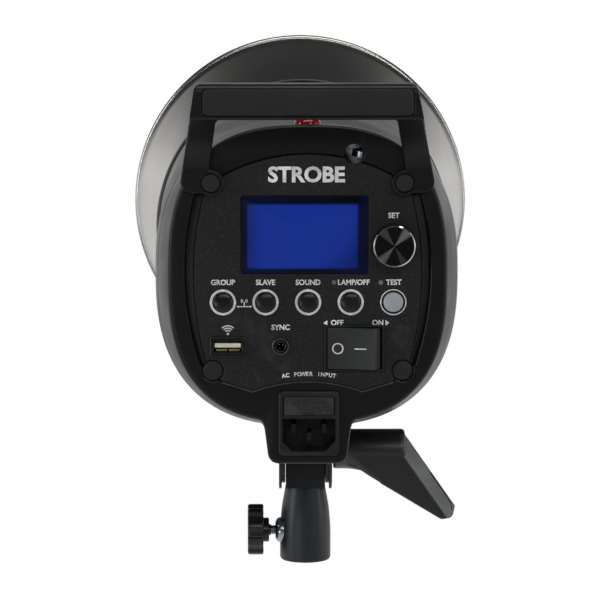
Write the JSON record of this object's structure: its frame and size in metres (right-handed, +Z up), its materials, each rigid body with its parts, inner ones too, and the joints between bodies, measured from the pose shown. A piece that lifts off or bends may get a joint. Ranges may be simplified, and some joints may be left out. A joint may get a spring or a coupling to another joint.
{
  "type": "monolight strobe",
  "caption": "Mains studio flash head with rear control panel, carry handle, tilting stand bracket and a round metal reflector on a bayonet mount.",
  "frame": {"origin": "centre of the stand socket's open end", "axes": "+Z up, +Y the direction the light fires, +X towards the tilt lever"},
  "size_m": [0.18, 0.3983, 0.2406],
  "materials": {
    "housing_plastic": "satin moulded black",
    "panel_plastic": "fine-grained black",
    "black_rubber": "soft matt black",
    "gloss_black": "smooth black",
    "display_glass": "blue backlit window",
    "circuit_board": "green board",
    "dial_metal": "black anodised, spun",
    "bright_steel": "bright",
    "zinc_metal": "zinc plated",
    "cream_plastic": "smooth",
    "white_plastic": "smooth translucent white",
    "clear_glass": "clear",
    "red_lens": "clear red",
    "cast_alloy": "satin blue-grey",
    "reflector_metal": "satin black outside, silver inside",
    "ceramic": "unglazed",
    "capacitor_sleeve": "shrink sleeve"
  },
  "bodies": {
    "stand_receiver": {"stand_receiver": "cast_alloy", "clamp_boss": "zinc_metal"},
    "head": {"housing_upper_shell": "housing_plastic", "housing_lower_shell": "housing_plastic", "rear_frame": "housing_plastic", "carry_handle": "housing_plastic", "front_ring": "housing_plastic", "inlet_body": "housing_plastic", "switch_bezel": "housing_plastic", "sync_jack": "housing_plastic", "umbrella_tube": "housing_plastic", "fan_frame": "housing_plastic", "dial_encoder": "housing_plastic", "control_panel": "panel_plastic", "handle_grip_pad": "black_rubber", "screw_plug_top_left": "black_rubber", "screw_plug_top_right": "black_rubber", "screw_plug_bottom_left": "black_rubber", "screw_plug_bottom_right": "black_rubber", "display_window": "display_glass", "display_module": "circuit_board", "control_board": "circuit_board", "power_board": "circuit_board", "usb_shell": "bright_steel", "inlet_pin_line": "bright_steel", "inlet_pin_neutral": "bright_steel", "inlet_pin_earth": "bright_steel", "umbrella_clip": "bright_steel", "tilt_bolt": "zinc_metal", "handle_screw_left": "zinc_metal", "handle_screw_right": "zinc_metal", "mount_plate": "zinc_metal", "usb_tongue": "cream_plastic", "modelling_lamp": "clear_glass", "flash_tube": "clear_glass", "slave_sensor_dome": "red_lens", "tilt_bracket": "cast_alloy", "tube_base": "ceramic", "lamp_socket": "ceramic", "capacitor_left": "capacitor_sleeve", "capacitor_right": "capacitor_sleeve"},
    "clamp_pad": {"clamp_pad": "zinc_metal"},
    "clamp_screw": {"clamp_screw": "zinc_metal", "star_knob": "gloss_black"},
    "tilt_lever": {"tilt_lever": "housing_plastic"},
    "dial_push": {"dial_plunger": "bright_steel"},
    "dial_turn": {"dial_shaft": "bright_steel", "dial_knob": "dial_metal"},
    "button_group": {"button_group": "black_rubber"},
    "button_slave": {"button_slave": "black_rubber"},
    "button_sound": {"button_sound": "black_rubber"},
    "button_lamp": {"button_lamp": "black_rubber"},
    "button_test": {"button_test": "white_plastic"},
    "rocker": {"switch_rocker": "gloss_black"},
    "fuse_drawer": {"fuse_drawer": "housing_plastic", "fuse": "clear_glass"},
    "fan": {"fan_rotor": "housing_plastic"},
    "reflector": {"reflector_dish": "reflector_metal", "reflector_collar": "zinc_metal"},
    "release_slider": {"release_slider": "zinc_metal"}
  },
  "joints": [
    {"name": "head_tilt", "type": "hinge", "parent": "stand_receiver", "child": "head", "pos_m": [0, 0, 0.054], "axis": [1, 0, 0], "range_deg": [-75, 75]},
    {"name": "lever_turn", "type": "hinge", "parent": "head", "child": "tilt_lever", "pos_m": [0, 0, 0.054], "axis": [1, 0, 0], "range_deg": [-60, 120]},
    {"name": "clamp_screw_turn", "type": "hinge", "parent": "clamp_pad", "child": "clamp_screw", "pos_m": [-0.015, 0, 0.0143], "axis": [1, 0, 0], "range_deg": [-720, 1080]},
    {"name": "clamp_pad_slide", "type": "slide", "parent": "stand_receiver", "child": "clamp_pad", "axis": [1, 0, 0], "range_m": [-0.0016, 0.0024]},
    {"name": "dial_press", "type": "slide", "parent": "head", "child": "dial_push", "axis": [0, 1, 0], "range_m": [0, 0.0005], "stiffness_N_per_m": 600, "springref_m": -0.0004},
    {"name": "dial_turn", "type": "hinge", "parent": "dial_push", "child": "dial_turn", "pos_m": [0.039, -0.1, 0.1655], "axis": [0, 1, 0], "continuous": true},
    {"name": "button_group_press", "type": "slide", "parent": "head", "child": "button_group", "axis": [0, 1, 0], "range_m": [0, 0.0008], "stiffness_N_per_m": 400, "springref_m": -0.0004},
    {"name": "button_slave_press", "type": "slide", "parent": "head", "child": "button_slave", "axis": [0, 1, 0], "range_m": [0, 0.0008], "stiffness_N_per_m": 400, "springref_m": -0.0004},
    {"name": "button_sound_press", "type": "slide", "parent": "head", "child": "button_sound", "axis": [0, 1, 0], "range_m": [0, 0.0008], "stiffness_N_per_m": 400, "springref_m": -0.0004},
    {"name": "button_lamp_press", "type": "slide", "parent": "head", "child": "button_lamp", "axis": [0, 1, 0], "range_m": [0, 0.0008], "stiffness_N_per_m": 400, "springref_m": -0.0004},
    {"name": "button_test_press", "type": "slide", "parent": "head", "child": "button_test", "axis": [0, 1, 0], "range_m": [0, 0.0008], "stiffness_N_per_m": 400, "springref_m": -0.0004},
    {"name": "rocker_tilt", "type": "hinge", "parent": "head", "child": "rocker", "pos_m": [0.0212, -0.0938, 0.1175], "axis": [0, 0, 1], "range_deg": [0, 20]},
    {"name": "fuse_drawer_slide", "type": "slide", "parent": "head", "child": "fuse_drawer", "axis": [0, -1, 0], "range_m": [0, 0.014]},
    {"name": "fan_spin", "type": "hinge", "parent": "head", "child": "fan", "pos_m": [0, -0.0635, 0.147], "axis": [0, 1, 0], "continuous": true},
    {"name": "reflector_twist", "type": "hinge", "parent": "head", "child": "reflector", "pos_m": [0, 0.14, 0.147], "axis": [0, 1, 0], "range_deg": [0, 25]},
    {"name": "release_slide", "type": "slide", "parent": "head", "child": "release_slider", "axis": [0, 0, -1], "range_m": [0, 0.003], "stiffness_N_per_m": 400, "springref_m": -0.003}
  ],
  "couplings": [
    {"joint": "clamp_screw_turn", "follows": "clamp_pad_slide", "rad_per_m": 7854}
  ]
}
